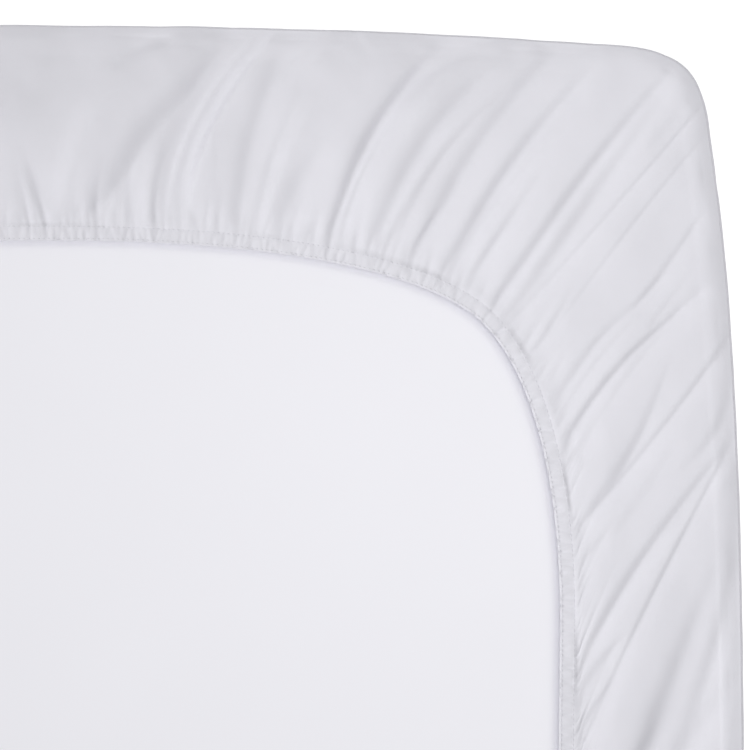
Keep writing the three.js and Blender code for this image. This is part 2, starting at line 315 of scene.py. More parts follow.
class ClothSettings(bpy.types.PropertyGroup):
    """The protector's cloth and its gathers."""

    colour: bpy.props.FloatVectorProperty(
        name="Cloth colour",
        description="Colour of the protector's cloth",
        default=(0.771, 0.765, 0.816),
        min=0.0,
        max=1.0,
        subtype="COLOR",
    )
    fold_depth: bpy.props.FloatProperty(
        name="Fold depth",
        description="Depth of the main folds, as a share of the tables' depth",
        default=1.35,
        min=0.0,
        max=2.0,
        subtype="FACTOR",
    )
    pucker_depth: bpy.props.FloatProperty(
        name="Pucker depth",
        description="Depth of the small gathers beside the hem's stitching",
        default=0.0014,
        min=0.0,
        max=0.003,
        unit="LENGTH",
    )
    stitch_pitch: bpy.props.FloatProperty(
        name="Stitch pitch",
        description="Distance from one stitch of the hem to the next",
        default=0.0024,
        min=0.001,
        max=0.01,
        unit="LENGTH",
    )
    thread_colour: bpy.props.FloatVectorProperty(
        name="Thread colour",
        description="Colour of the sewing thread",
        default=(0.75, 0.743, 0.794),
        min=0.0,
        max=1.0,
        subtype="COLOR",
    )


class MattressSettings(bpy.types.PropertyGroup):
    """The plain mattress."""

    colour: bpy.props.FloatVectorProperty(
        name="Ticking colour",
        description="Colour of the mattress's own cover",
        default=(0.89, 0.885, 0.931),
        min=0.0,
        max=1.0,
        subtype="COLOR",
    )


class StageSettings(bpy.types.PropertyGroup):
    """The floor, the lights and the camera."""

    camera_height: bpy.props.FloatProperty(
        name="Camera height",
        description="Height of the camera over the hem",
        default=7.0,
        min=0.5,
        max=20.0,
        unit="LENGTH",
    )
    view_width: bpy.props.FloatProperty(
        name="View width",
        description="Width of what the camera sees at the hem's height",
        default=0.363,
        min=0.05,
        max=3.0,
        unit="LENGTH",
    )
    view_centre: bpy.props.FloatVectorProperty(
        name="View centre",
        description="Place over which the camera looks straight down",
        default=(0.167, 0.486),
        size=2,
        subtype="XYZ",
        unit="LENGTH",
    )
    sky: bpy.props.FloatProperty(
        name="Sky strength",
        description="Strength of the even light from all round",
        default=0.3,
        min=0.0,
        max=3.0,
    )
    key: bpy.props.FloatProperty(
        name="Key light",
        description="Power of the low soft light on the left",
        default=112.0,
        min=0.0,
        max=1000.0,
        unit="POWER",
    )
    fill: bpy.props.FloatProperty(
        name="Overhead light",
        description="Power of the soft light above the corner",
        default=2.85,
        min=0.0,
        max=1000.0,
        unit="POWER",
    )


# ---------------------------------------------------------------- plan curves


def cubic(points, share):
    """Points of a cubic curve with four control points, at each share from 0 to 1."""
    a, b, c, d = (np.array(p, float) for p in points)
    t = share[:, None]
    return (1 - t) ** 3 * a + 3 * (1 - t) ** 2 * t * b + 3 * (1 - t) * t * t * c + t**3 * d


def through(points, share):
    """Points of a quadratic curve that passes through three places, the second half way."""
    a, m, c = (np.array(p, float) for p in points)
    pull = 2 * m - (a + c) / 2
    t = share[:, None]
    return (1 - t) ** 2 * a + 2 * (1 - t) * t * pull + t * t * c


class Loop:
    """A closed plan curve: a quarter and its mirror images, measured along its length."""

    def __init__(self, quarter):
        shares = np.linspace(0, 1, 161)
        first = np.vstack([cubic(piece, shares)[:-1] for piece in quarter])
        first = np.vstack([first, quarter[-1][-1]])
        whole = np.vstack(
            [
                first[:-1],
                (first * (1, -1))[::-1][:-1],
                (first * (-1, -1))[:-1],
                (first * (-1, 1))[::-1][:-1],
            ]
        )
        self.points = np.vstack([whole, whole[:1]])
        steps = np.linalg.norm(np.diff(self.points, axis=0), axis=1)
        self.places = np.concatenate([[0], np.cumsum(steps)])
        self.length = self.places[-1]

    def at(self, place):
        place = np.asarray(place) % self.length
        return np.stack(
            [np.interp(place, self.places, self.points[:, k]) for k in range(2)], -1
        )

    def inward(self, place, reach=1.5):
        along = self.at(np.asarray(place) + reach) - self.at(np.asarray(place) - reach)
        along /= np.linalg.norm(along, axis=-1, keepdims=True)
        return np.stack([along[..., 1], -along[..., 0]], -1)

    def nearest(self, spot):
        away = np.linalg.norm(self.points[:-1] - np.array(spot, float), axis=1)
        return self.places[int(away.argmin())]


# ---------------------------------------------------------------- columns of the cloth


STITCH_LEVELS = (1.0, 4.3)  # rows of stitching, in rows of the hem's section
SEEN_PITCH = 0.84  # of the columns at the hem, in the seen corner
PLAIN_PITCH = 6.0  # and elsewhere
PITCH_BLEND = 90.0  # length of hem over which the one turns into the other
RING_SAMPLES = 1200  # places round the hem where the columns' lean is smoothed
COARSEST = 16  # columns of the finest rings for one of the sleeping panel's
LEAST_ROOM = 0.4  # for the cloth to sink, however near the mattress is


def smoothed(values, times):
    """A ring of values with its corners rounded off."""
    for _ in range(times):
        values = (np.roll(values, 1, 0) + 2 * values + np.roll(values, -1, 0)) / 4
    return values


def ease(share):
    """A share kept from 0 to 1, with a soft start and end."""
    share = np.clip(share, 0, 1)
    return share * share * (3 - 2 * share)


def limited(relief, room):
    """Relief whose troughs flatten out softly before they are deeper than the room."""
    half = np.maximum(room, LEAST_ROOM) / 2
    deepest = half * np.exp(np.minimum(1 + relief / half, 0)) - 2 * half
    return np.where(relief < -half, deepest, relief)


def from_place(places, here, total):
    """Distances from one place of a closed ring to others, the shorter way round."""
    return (places - here + total / 2) % total - total / 2


class Columns:
    """The strips of faces that run out from the hem, over the edge and down the wall."""

    def __init__(self, hem, outline):
        rows = []
        for sx, sy, drawn in QUARTERS:
            # The first row crosses the middle of its side, so only one corner has it.
            lean = LEAN if drawn else LEAN[1:]
            for near, mid, far, lift, roll, tight in lean if sx * sy > 0 else lean[::-1]:
                rows.append(
                    (
                        hem.nearest((near[0] * sx, near[1] * sy)),
                        outline.nearest((far[0] * sx, far[1] * sy)),
                        mid[0] * sx,
                        mid[1] * sy,
                        lift,
                        roll,
                        tight,
                    )
                )
        table = np.array(rows)
        for k, loop in ((0, hem), (1, outline)):
            table[:, k] = np.unwrap(table[:, k], period=loop.length)
        lap = (hem.length, outline.length, 0, 0, 0, 0, 0)
        table = np.vstack([table, table[0] + lap])

        places = self.hem_places(hem, table[0, 0])
        even = np.linspace(table[0, 0], table[0, 0] + hem.length, RING_SAMPLES + 1)
        ring = np.stack([np.interp(even[:-1], table[:, 0], row) for row in table.T], 1)
        for k in range(1, len(lap)):
            trend = np.linspace(0, outline.length, RING_SAMPLES + 1)[:-1] if k == 1 else 0
            ring[:, k] = smoothed(ring[:, k] - trend, 12) + trend
        ring = np.vstack([ring, ring[:1] + lap])
        read = [np.interp(places, even, row) for row in ring.T]
        self.hem_place = places
        self.edge_place = read[1]
        self.mid = np.stack(read[2:4], 1)
        self.lift, self.roll, self.tight = read[4:]
        self.hem_spot = hem.at(places)
        self.hem_inward = hem.inward(places)
        self.edge_spot = outline.at(self.edge_place)
        self.edge_inward = outline.inward(self.edge_place)
        self.count = len(places)
        self.hem_length = hem.length

    @staticmethod
    def hem_places(hem, start):
        """Places along the hem, close together in the seen corner."""
        seen_from = hem.nearest((0, 551)) - 22
        seen_to = hem.nearest((255, 290))
        fine = np.linspace(start, start + hem.length, 20001)
        off = from_place(fine, (seen_from + seen_to) / 2, hem.length)
        out = ease((np.abs(off) - (seen_to - seen_from) / 2) / PITCH_BLEND)
        pitch = SEEN_PITCH + (PLAIN_PITCH - SEEN_PITCH) * out
        count = np.concatenate([[0], np.cumsum(np.diff(fine) / pitch[:-1])])
        total = COARSEST * int(round(count[-1] / COARSEST))
        return np.interp(np.arange(total) * count[-1] / total, count, fine)

    def wall(self, inset, z, rise=0.0):
        share = self.roll[:, None] if z > ROLL_FROM else 1.0
        spot = self.edge_spot + self.edge_inward * inset * share
        return np.column_stack([spot, z + rise * self.lift * self.tight])

    def casing(self, outward, z):
        spot = self.hem_spot - self.hem_inward * outward
        return np.column_stack([spot, np.full(self.count, z)])

    def flap(self, along, rise):
        start = self.hem_spot - self.hem_inward * CASING_WIDTH
        end = self.edge_spot + self.edge_inward * WALL[-1][0] * self.roll[:, None]
        pull = 2 * self.mid - (start + end) / 2
        spot = (1 - along) ** 2 * start + 2 * (1 - along) * along * pull + along**2 * end
        if along > 0.5:
            rise = rise + (1 - rise) * self.tight
        return np.column_stack([spot, FLAP_TOP + self.lift * rise])


def smooth_rows(controls, splits):
    """Rows of a smooth surface through the control rows, and each row's control number."""
    controls = np.array(controls)
    steps = np.diff(controls, axis=0)
    spans = np.linalg.norm(steps, axis=-1).mean(1)[:, None, None]
    slopes = steps / spans
    turns = (slopes[:-1] * spans[1:] + slopes[1:] * spans[:-1]) / (spans[:-1] + spans[1:])
    turns = np.concatenate([slopes[:1], turns, slopes[-1:]])
    rows, numbers = [controls[0]], [0.0]
    for i, split in enumerate(splits[1:]):
        for k in range(1, split + 1):
            t = k / split
            rows.append(
                (2 * t**3 - 3 * t * t + 1) * controls[i]
                + (3 * t * t - 2 * t**3) * controls[i + 1]
                + (t**3 - 2 * t * t + t) * spans[i] * turns[i]
                + (t**3 - t * t) * spans[i] * turns[i + 1]
            )
            numbers.append(i + t)
    return np.array(rows), np.array(numbers)


# ---------------------------------------------------------------- folds


def mirrored_folds(rng, shift=2.5, bend=3.0, least_size=0.62, least_width=3.6):
    """Every fold of the cloth in plan: the seen corner's as drawn, the others' like them."""
    for sx, sy, drawn in QUARTERS:
        for near, mid, far, depth, left, right, start, end in FOLDS:
            spots = np.array([near, mid, far], float) * (sx, sy)
            if drawn:
                yield spots, depth, left, right, start, end
                continue
            spots += rng.normal(0, shift, 2)
            spots[1:] += rng.normal(0, bend, (2, 2))
            size = rng.uniform(0.55, 1.15)
            crosses_middle = near[0] < 20 and near[1] > 540
            if crosses_middle or size < least_size:
                continue
            wide = max(1.0, least_width / min(left, right)) * rng.uniform(0.9, 1.2)
            if sx * sy < 0:
                left, right = right, left
            yield spots, depth * size, left * wide, right * wide, start, end


def fold_relief(plan, rng, depth_share):
    """How far the folds sink the cloth at each place of a grid of plan places."""
    flat = plan.reshape(-1, 2)
    relief = np.zeros(len(flat))
    steps = np.linspace(0, 1, FOLD_LEGS + 1)
    shares = np.concatenate([[-FOLD_END], steps, [1 + FOLD_END]])
    for spots, depth, left, right, start, end in mirrored_folds(rng):
        line = through(spots, steps)
        before = line[0] + (line[0] - line[1]) * FOLD_END * FOLD_LEGS
        beyond = line[-1] + (line[-1] - line[-2]) * FOLD_END * FOLD_LEGS
        line = np.vstack([before, line, beyond])
        reach = 7.0 * max(left, right)
        low, high = line.min(0) - reach, line.max(0) + reach
        near = np.where(((flat > low) & (flat < high)).all(1))[0]
        if not len(near):
            continue
        spot = flat[near][:, None]
        a, b = line[None, :-1], line[None, 1:]
        leg = b - a
        share = np.clip(((spot - a) * leg).sum(-1) / (leg**2).sum(-1), 0, 1)
        off = spot - (a + leg * share[..., None])
        away = np.linalg.norm(off, axis=-1)
        best = away.argmin(1)
        pick = np.arange(len(near))
        here = share[pick, best]
        along = shares[best] * (1 - here) + shares[best + 1] * here
        offset = off[pick, best]
        direction = leg[0, best]
        side = direction[:, 0] * offset[:, 1] - direction[:, 1] * offset[:, 0]
        across = -side / np.linalg.norm(direction, axis=1) - left
        rise = np.clip(along / 0.5, 0, 1) * (1 - start) + start
        fall = np.clip((1 - along) / 0.5, 0, 1) * (1 - end) + end
        fall = fall * (1 - ease(np.maximum(-along, along - 1) / FOLD_END))
        taper = 0.6 + 0.4 * rise * fall
        steep = np.exp(-((across / (FOLD_STEEP * left * taper)) ** 2))
        rounded = np.hypot(across / (FOLD_GENTLE * right * taper), 0.25)
        gentle = np.exp(-(rounded**1.3) + 0.165)
        shape = np.where(across < 0, steep, gentle)
        relief[near] -= depth * depth_share * shape * rise * fall
    return relief.reshape(plan.shape[:-1])


def comb(total, pitch, rng):
    """Places, strengths and lengths of gathers along a ring, with uneven spacing."""
    found, here = [], 0.0
    while here < total - pitch[0]:
        found.append((here, rng.uniform(0.35, 1.0), rng.uniform(0.0, 1.0)))
        here += rng.uniform(*pitch)
    return found


def pucker_relief(columns, away, rng, pitch, reach, half, depth):
    """Small gathers that run out from the hem's stitching. away: distance from it."""
    relief = np.zeros(away.shape)
    for here, strength, long in comb(columns.hem_length, pitch, rng):
        off = from_place(columns.hem_place, here, columns.hem_length)
        near = np.where(np.abs(off) < 5 * half)[0]
        if not len(near):
            continue
        out = reach[0] + (reach[1] - reach[0]) * long
        fade = np.exp(-((away[:, near] / out) ** 1.5))
        wide = half * (0.75 + 0.9 * away[:, near] / out)
        drift = rng.uniform(-1, 1) * away[:, near] * 0.12
        shape = np.exp(-(np.abs(off[near][None] - drift) / wide) ** 1.5)
        relief[:, near] -= depth * strength * fade * shape
    return relief


def wave_relief(plan, rng, count, lengths, depth):
    """A faint, seeded unevenness of cloth: a few long waves that cross at odd angles."""
    relief = np.zeros(plan.shape[:-1])
    for _ in range(count):
        turn = rng.uniform(0, math.tau)
        length = rng.uniform(*lengths)
        phase = rng.uniform(0, math.tau)
        across = plan[..., 0] * math.cos(turn) + plan[..., 1] * math.sin(turn)
        relief += np.sin(across * math.tau / length + phase)
    return relief * depth / math.sqrt(count)


def wall_relief(columns, heights, rng, reach=70, deepest=1.9):
    """Soft upright folds down the wall, deepest near the corners, and calm by the seen one."""
    relief = np.zeros((len(heights), columns.count))
    spots = columns.edge_spot
    places = columns.edge_place
    total = np.linalg.norm(spots - np.roll(spots, 1, 0), axis=1).sum()
    here = 0.0
    while here < total:
        off = from_place(places, here, total)
        near = np.abs(off) < reach
        if near.any():
            middle = spots[np.abs(off).argmin()]
            corner = math.hypot(HALF_WIDTH - abs(middle[0]), HALF_LENGTH - abs(middle[1]))
            half = rng.uniform(5, 12)
            depth = rng.uniform(0.4, 1.2) * (0.45 + math.exp(-corner / 150))
            if middle[0] > -40 and middle[1] > 250:
                depth *= 0.35
            foot = rng.uniform(5, 70)
            lean = rng.uniform(-0.5, 0.5)
            drift = (128 - heights)[:, None] * lean
            fade = np.clip((heights - foot) / 45, 0, 1)[:, None]
            shape = np.exp(-(np.abs(off[None, near] - drift) / half) ** 1.7)
            relief[:, near] -= depth * fade**1.2 * shape
        here += rng.uniform(14, 40)
    return limited(relief, deepest)


def grid_normals(grid):
    """The outward normal at each place of a grid whose columns close on themselves."""
    across = np.roll(grid, -1, 1) - np.roll(grid, 1, 1)
    along = np.gradient(grid, axis=0)
    normal = np.cross(along, across)
    return normal / np.maximum(np.linalg.norm(normal, axis=-1, keepdims=True), 1e-9)


# ---------------------------------------------------------------- meshes


def deselect():
    for ob in bpy.context.selected_objects:
        ob.select_set(False)


def mesh_piece(name, places, faces, uvs=None):
    """A piece of the object from places in millimetres, lists of corners, and flat places."""
    me = bpy.data.meshes.new(name)
    me.from_pydata((np.asarray(places) * MM).tolist(), [], faces)
    me.shade_smooth()
    if uvs is not None:
        layer = me.uv_layers.new(name="ClothUV")
        corners = np.empty(len(me.loops), np.int32)
        me.loops.foreach_get("vertex_index", corners)
        layer.uv.foreach_set("vector", (uvs[corners] * MM).astype(np.float32).ravel())
    me.validate()
    ob = bpy.data.objects.new(name, me)
    bpy.context.scene.collection.objects.link(ob)
    return ob


def strip_faces(first, second):
    """Faces between two rings of corners. The first may hold several for each of the second."""
    many = len(first) // len(second)
    faces = []
    for k in range(len(second)):
        fine = [first[(k * many + j) % len(first)] for j in range(many + 1)]
        a, b = second[k], second[(k + 1) % len(second)]
        if many == 1:
            faces += [[*fine, b], [fine[0], b, a]]
        else:
            faces.append([*fine, b, a])
    return faces


class Rings:
    """Rings of corners, stacked to a closed body."""

    def __init__(self):
        self.places, self.uvs, self.faces, self.count = [], [], [], 0
        self.last = None

    def add(self, ring, uv):
        numbers = list(range(self.count, self.count + len(ring)))
        self.places.append(ring)
        self.uvs.append(uv)
        self.count += len(ring)
        if self.last is not None:
            self.faces += strip_faces(self.last, numbers)
        self.last = numbers
        return numbers

    def cap(self, numbers, flip):
        self.faces.append(list(numbers[::-1] if flip else numbers))

    def piece(self, name):
        return mesh_piece(name, np.vstack(self.places), self.faces, np.vstack(self.uvs))


# ---------------------------------------------------------------- the protector


SEED = 41
FOLD_AT_STITCH = 0.25  # share of a main fold's depth at the stitching
FOLD_FULL_FROM = 11.0  # and the distance from it where the depth is full
PUCKER_AT_STITCH = 0.55  # share of a gather's depth at the stitching
PUCKER_FULL_FROM = 4.0  # and the distance from it where the depth is full
PUCKERS_ON_LONG_SIDE = 0.4  # share of the depth that they have on the short side
CASING_FADE = 6.0  # rows of the hem's section over which folds and gathers die away
BROAD_SMOOTHING = 60  # rounds of smoothing that part broad folds from fine ones
EDGE_FOOT = 126.6  # height from which the tight edge leaves room for folds
EDGE_REACH = 3.5  # rows of the flap's section in which the rounded edge leaves more room
FREE_FROM_EDGE = 45.0  # distance from the edge where broad ridges stand at full height
EDGE_FLATTENS = 0.85  # share of a broad ridge that the edge takes away
EDGE_FLATTENS_FINE = (0.8, 0.5)  # and of a fine ridge and a fine trough
TROUGH_AT_EDGE = 0.7  # depth of the deepest broad trough at the edge
TROUGH_GROWS = 0.14  # and what each millimetre away from it adds
TROUGH_FINE = 0.58  # and what a fine trough may add
RUNS_OUT = (60, 129)  # heights on the wall between which the flap's folds run out
WALL_PROUD = 0.3  # distance by which the lower wall stands out
CASING_SWELL = 7.0  # rows of the hem's section over which its wrinkles swell and fade
STITCH_GROOVE = 0.11  # depth that the stitching presses into the hem
HEM_SINKS = 1.2  # depth to which the hem may press into the mattress
INNER_EVERY = 4  # columns of the finest rings for one of the inner face's

# Room for broad folds, and what fine ones may take beyond it: on the flap, what the
# rounded edge adds, and on the edge the share of the height over EDGE_FOOT.
BROAD_ROOM = (-0.7, 2.5, 0.62)
FINE_ROOM = (0.5, 1.3, 0.2)

# Rings of the sleeping panel: share of the way out from its middle, and columns for one.
PANEL = (
    (0.97, 4),
    (0.9, 4),
    (0.75, COARSEST),
    (0.5, COARSEST),
    (0.2, COARSEST),
)


class ClothShape:
    """The cloth's finished surface, shared by the cloth and the stitching on it."""

    def __init__(self, settings):
        rng = np.random.default_rng(SEED)
        self.columns = Columns(Loop(HEM_QUARTER), Loop(OUTLINE_QUARTER))
        self.casing_from = len(WALL) + len(FLAP)
        self.base, self.numbers = self.smooth_section()
        numbers = self.numbers
        self.heights = np.interp(numbers, range(len(WALL)), [row[1] for row in WALL])
        self.away = self.from_stitching()
        self.is_flap = (numbers >= len(WALL) - 1) & (numbers <= self.casing_from)
        self.is_casing = numbers > self.casing_from
        self.is_edge = (numbers > EDGE_FROM) & ~self.is_flap & ~self.is_casing

        relief = self.held_in(self.gathered(settings, rng))
        self.shape_wall(relief, rng)
        relief[self.is_casing] += self.casing_relief(rng)[self.is_casing]
        shaped = self.base + grid_normals(self.base) * relief[..., None]
        lowest = FLAP_UNDER - HEM_SINKS
        under = self.is_casing[:, None] & (shaped[..., 2] < lowest)
        shaped[..., 2] = np.where(under, lowest, shaped[..., 2])
        self.surface = shaped

    def row(self, number):
        """The row of faces that is nearest to a row of the section's tables."""
        return int(np.abs(self.numbers - number).argmin())

    def smooth_section(self):
        columns = self.columns
        controls = [columns.wall(inset, z, rise) for inset, z, rise, _ in WALL]
        controls += [columns.flap(along, rise) for along, rise, _ in FLAP]
        controls += [columns.casing(out, FLAP_TOP + up) for out, up, _ in CASING]
        return smooth_rows(controls, [row[-1] for row in (*WALL, *FLAP, *CASING)])

    def from_stitching(self):
        """Distances over the cloth from the stitching: nought on the turned hem."""
        stitch_row = self.row(self.casing_from)
        steps = np.linalg.norm(np.diff(self.base[: stitch_row + 1], axis=0), axis=-1)
        away = np.zeros(self.base.shape[:2])
        away[:stitch_row] = np.cumsum(steps[::-1], 0)[::-1]
        return away

    def gathered(self, settings, rng):
        """Main folds, gathers beside the stitching and faint waves, before they are held in."""
        columns, away = self.columns, self.away
        plan = self.base[..., :2]
        upper = self.is_flap | self.is_edge
        relief = np.zeros(away.shape)
        main = fold_relief(plan[upper], rng, settings.fold_depth)
        depth = settings.pucker_depth / MM
        gathers = sum(
            pucker_relief(columns, away, rng, pitch, reach, half, depth * share)
            for pitch, reach, half, share in PUCKERS
        )
        waves = sum(wave_relief(plan, rng, *row) for row in WAVES)

        near_stitch = FOLD_AT_STITCH + (1 - FOLD_AT_STITCH) * ease(away / FOLD_FULL_FROM)
        relief[upper] = main * near_stitch[upper]
        at_stitch = np.array(relief[self.row(self.casing_from)])
        short_adds = 1 - PUCKERS_ON_LONG_SIDE
        gathers = gathers * (PUCKERS_ON_LONG_SIDE + short_adds * columns.hem_inward[:, 1] ** 2)
        gathers = gathers * np.clip(away / PUCKER_FULL_FROM, PUCKER_AT_STITCH, 1)
        relief[self.is_flap] += gathers[self.is_flap]
        left = 1 - np.clip((self.numbers - self.casing_from) / CASING_FADE, 0, 1)[:, None]
        relief[self.is_casing] += (gathers * left**1.5)[self.is_casing] * 0.9
        relief[self.is_casing] += (at_stitch * left**1.2)[self.is_casing]
        relief[upper] += waves[upper]
        return relief

    def held_in(self, relief):
        """The relief of flap and edge, as far as the mattress and the tight edge let it be."""
        numbers = self.numbers[:, None]
        is_flap = self.is_flap[:, None]
        over_edge = self.heights[:, None] - EDGE_FOOT
        beside_edge = np.clip((len(WALL) + EDGE_REACH - numbers) / EDGE_REACH, 0, 1)
        from_edge = self.away[self.row(TURN_ROW)] - self.away

        flat, edge, share = BROAD_ROOM
        room = self.base[..., 2] - FLAP_UNDER + flat + edge * beside_edge
        room = np.where(is_flap, room, share * over_edge)
        cap = TROUGH_AT_EDGE + TROUGH_GROWS * from_edge
        room = np.minimum(room, cap)
        flat, edge, share = FINE_ROOM
        spare = np.where(is_flap, flat + edge * beside_edge, share * over_edge)
        most = np.maximum(room, LEAST_ROOM) + np.maximum(spare, 0)
        most = np.minimum(most, cap + TROUGH_FINE)

        broad = smoothed(relief.T, BROAD_SMOOTHING).T
        flattened = broad * (1 - EDGE_FLATTENS * ease(1 - from_edge / FREE_FROM_EDGE))
        level = np.where(broad > 0, flattened, limited(broad, room))
        fine = relief - broad
        tight = ease((len(WALL) + 0.2 - numbers) / 4)
        fine = fine * (1 - np.where(fine > 0, *EDGE_FLATTENS_FINE) * tight)
        is_upper = is_flap | self.is_edge[:, None]
        return np.where(is_upper, limited(level + fine, most), relief)

    def shape_wall(self, relief, rng):
        """Let the flap's folds run out over the edge, and give the wall its own."""
        numbers, is_edge = self.numbers, self.is_edge
        low, high = RUNS_OUT
        over = np.clip((self.heights - low) / (high - low), 0, 1)[:, None] ** 6
        top = smoothed(relief[self.is_flap][0], 2)
        relief[is_edge] = (relief * over)[is_edge]
        is_wall = numbers < len(WALL) - 1
        foot = is_wall & ~is_edge
        relief[foot] = top * over[foot]
        own = wall_relief(self.columns, self.heights[is_wall], rng)
        relief[is_wall] += own + WALL_PROUD * (1 - over[is_wall])
        relief[: self.row(1) + 1] = 0

    def casing_relief(self, rng):
        """Wrinkles across the turned hem, and the lines of stitching that press into it."""
        columns = self.columns
        past = (self.numbers - self.casing_from)[:, None]
        bulge = np.sin(np.clip(past / CASING_SWELL, 0, 1) * math.pi)
        relief = np.zeros(self.base.shape[:2])
        for pitch, half, depth in HEM_WRINKLES:
            for here, strength, _ in comb(columns.hem_length, pitch, rng):
                off = from_place(columns.hem_place, here, columns.hem_length)
                near = np.where(np.abs(off) < 6 * half)[0]
                middle, length = rng.uniform(1, 5.5), rng.uniform(1.5, 4.0)
                slant = rng.uniform(-0.5, 0.5) * (past - 3)
                if not len(near):
                    continue
                shape = np.exp(-(np.abs(off[near][None] - slant) / half) ** 1.8)
                shape = shape * np.exp(-(((past - middle) / length) ** 2))
                relief[:, near] -= depth * strength * shape * bulge
        for level in STITCH_LEVELS:
            relief -= STITCH_GROOVE * np.exp(-(((past - level) / 0.35) ** 2))
        return relief


def flat_places(columns, grid, numbers):
    """Where each corner of the wall, flap and hem lies on the uncut cloth."""
    steps = np.linalg.norm(np.diff(grid, axis=0), axis=-1).mean(1)
    up = np.concatenate([[0], np.cumsum(steps)])
    share = np.clip(numbers / numbers[-1], 0, 1)[:, None]
    across = columns.edge_place[None] * (1 - share) + columns.hem_place[None] * share
    return np.stack([across, np.broadcast_to(up[:, None], across.shape)], -1)


def inner_rings(shape, every, usual=1.4, least=0.5, step=3):
    """Coarse rings of the cloth's inner face, from the hem back down to the sleeping panel."""
    columns, surface = shape.columns, shape.surface
    pick = np.arange(0, columns.count, every)

    def lowest(row):
        low = surface[row - step : row + step + 1, :, 2].min(0)
        return np.min([np.roll(low, k) for k in range(-every, every + 1)], 0)

    yield columns.casing(CASING_WIDTH, FLAP_UNDER)[pick]
    first_wall = shape.row(len(WALL) - 1)
    for row in range(shape.row(shape.casing_from) - step, first_wall, -step):
        low = lowest(row)
        z = np.minimum(np.maximum(low - usual, FLAP_UNDER), low - least)
        yield np.column_stack([surface[row, :, :2], z])[pick]
    for number in range(len(WALL) - 1, 0, -1):
        inset, z, rise, _ = WALL[number]
        down = 0.75 if z > ROLL_FROM else 0.3
        ring = columns.wall(inset + CLOTH * (1 - down * 0.5) + 0.6, z - CLOTH * down, rise)
        if z > ROLL_FROM:
            ring[:, 2] = np.minimum(ring[:, 2], lowest(shape.row(number)) - least)
        yield ring[pick]
    yield columns.wall(WALL[0][0], CLOTH)[pick]


def build_protector(settings):
    shape = ClothShape(settings)
    surface = shape.surface
    uvs = flat_places(shape.columns, surface, shape.numbers)

    # The rings start at the hem's underside and go out, down and under, then back inside,
    # so that a coarse ring always follows a finer one or one of its own kind.
    cloth = Rings()
    for row in range(len(surface) - 1, -1, -1):
        every = 1 if shape.numbers[row] >= EDGE_FROM - 1 else 2
        cloth.add(surface[row, ::every], uvs[row, ::every])
    for share, every in PANEL:
        spot = surface[0, ::every, :2] * share
        cloth.add(np.column_stack([spot, np.zeros(len(spot))]), spot)
    cloth.cap(cloth.last, False)

    cloth.last = list(range(shape.columns.count))
    inner_first = len(cloth.faces)
    for ring in inner_rings(shape, INNER_EVERY):
        cloth.add(ring, ring[:, :2])
    for share, every in ((0.8, 4), (0.5, 1)):
        spot = cloth.places[-1][::every, :2] * share
        cloth.add(np.column_stack([spot, np.full(len(spot), CLOTH)]), spot)
    cloth.cap(cloth.last, False)
    for k in range(inner_first, len(cloth.faces)):
        cloth.faces[k] = cloth.faces[k][::-1]
    return shape, cloth.piece("protector_cloth")


def add_stitches(shape, settings, half=0.7, size=(0.85, 0.24, 0.24), proud=0.02):
    """Two rows of stitches round the turned hem, each stitch a short sunk capsule."""
    deselect()
    bpy.ops.mesh.primitive_uv_sphere_add(segments=6, ring_count=4, radius=1.0)
    one = bpy.context.active_object
    corners = np.array([v.co[:] for v in one.data.vertices])
    faces = [list(p.vertices) for p in one.data.polygons]
    bpy.data.meshes.remove(one.data)

    columns = shape.columns
    total = columns.hem_length
    number = int(total // (settings.stitch_pitch / MM))
    normals = grid_normals(shape.surface)
    places, all_faces = [], []
    for level in STITCH_LEVELS:
        row = shape.row(shape.casing_from + level)
        line, normal = shape.surface[row], normals[row]
        for k in range(number):
            here = columns.hem_place[0] + (k + 0.5) * total / number
            first, last = (place_on(line, columns, here + d) for d in (-half, half))
            along = last - first
            along /= np.linalg.norm(along)
            up = place_on(normal, columns, here)
            up -= along * (up @ along)
            up /= np.linalg.norm(up)
            axes = (along, np.cross(up, along), up)
            turned = np.stack([axis * reach for axis, reach in zip(axes, size)])
            all_faces += [[i + len(corners) * len(places) for i in f] for f in faces]
            places.append(corners @ turned + (first + last) / 2 + up * proud)
    return mesh_piece("hem_stitches", np.vstack(places), all_faces)


def place_on(line, columns, here):
    """A ring's value at a distance along the hem."""
    first = columns.hem_place[0]
    at = (here - first) % columns.hem_length + first
    xs = np.append(columns.hem_place, first + columns.hem_length)
    ys = np.vstack([line, line[:1]])
    return np.array([np.interp(at, xs, ys[:, k]) for k in range(3)])


# ---------------------------------------------------------------- the mattress


BARE_RINGS = (0.1, 0.3, 0.5, 0.7, 0.85, 0.95)  # shares of the way out to the pressed part
UNDER_RINGS = (0.85, 0.6, 0.35, 0.15)  # shares of the sleeping face, from its edge inwards


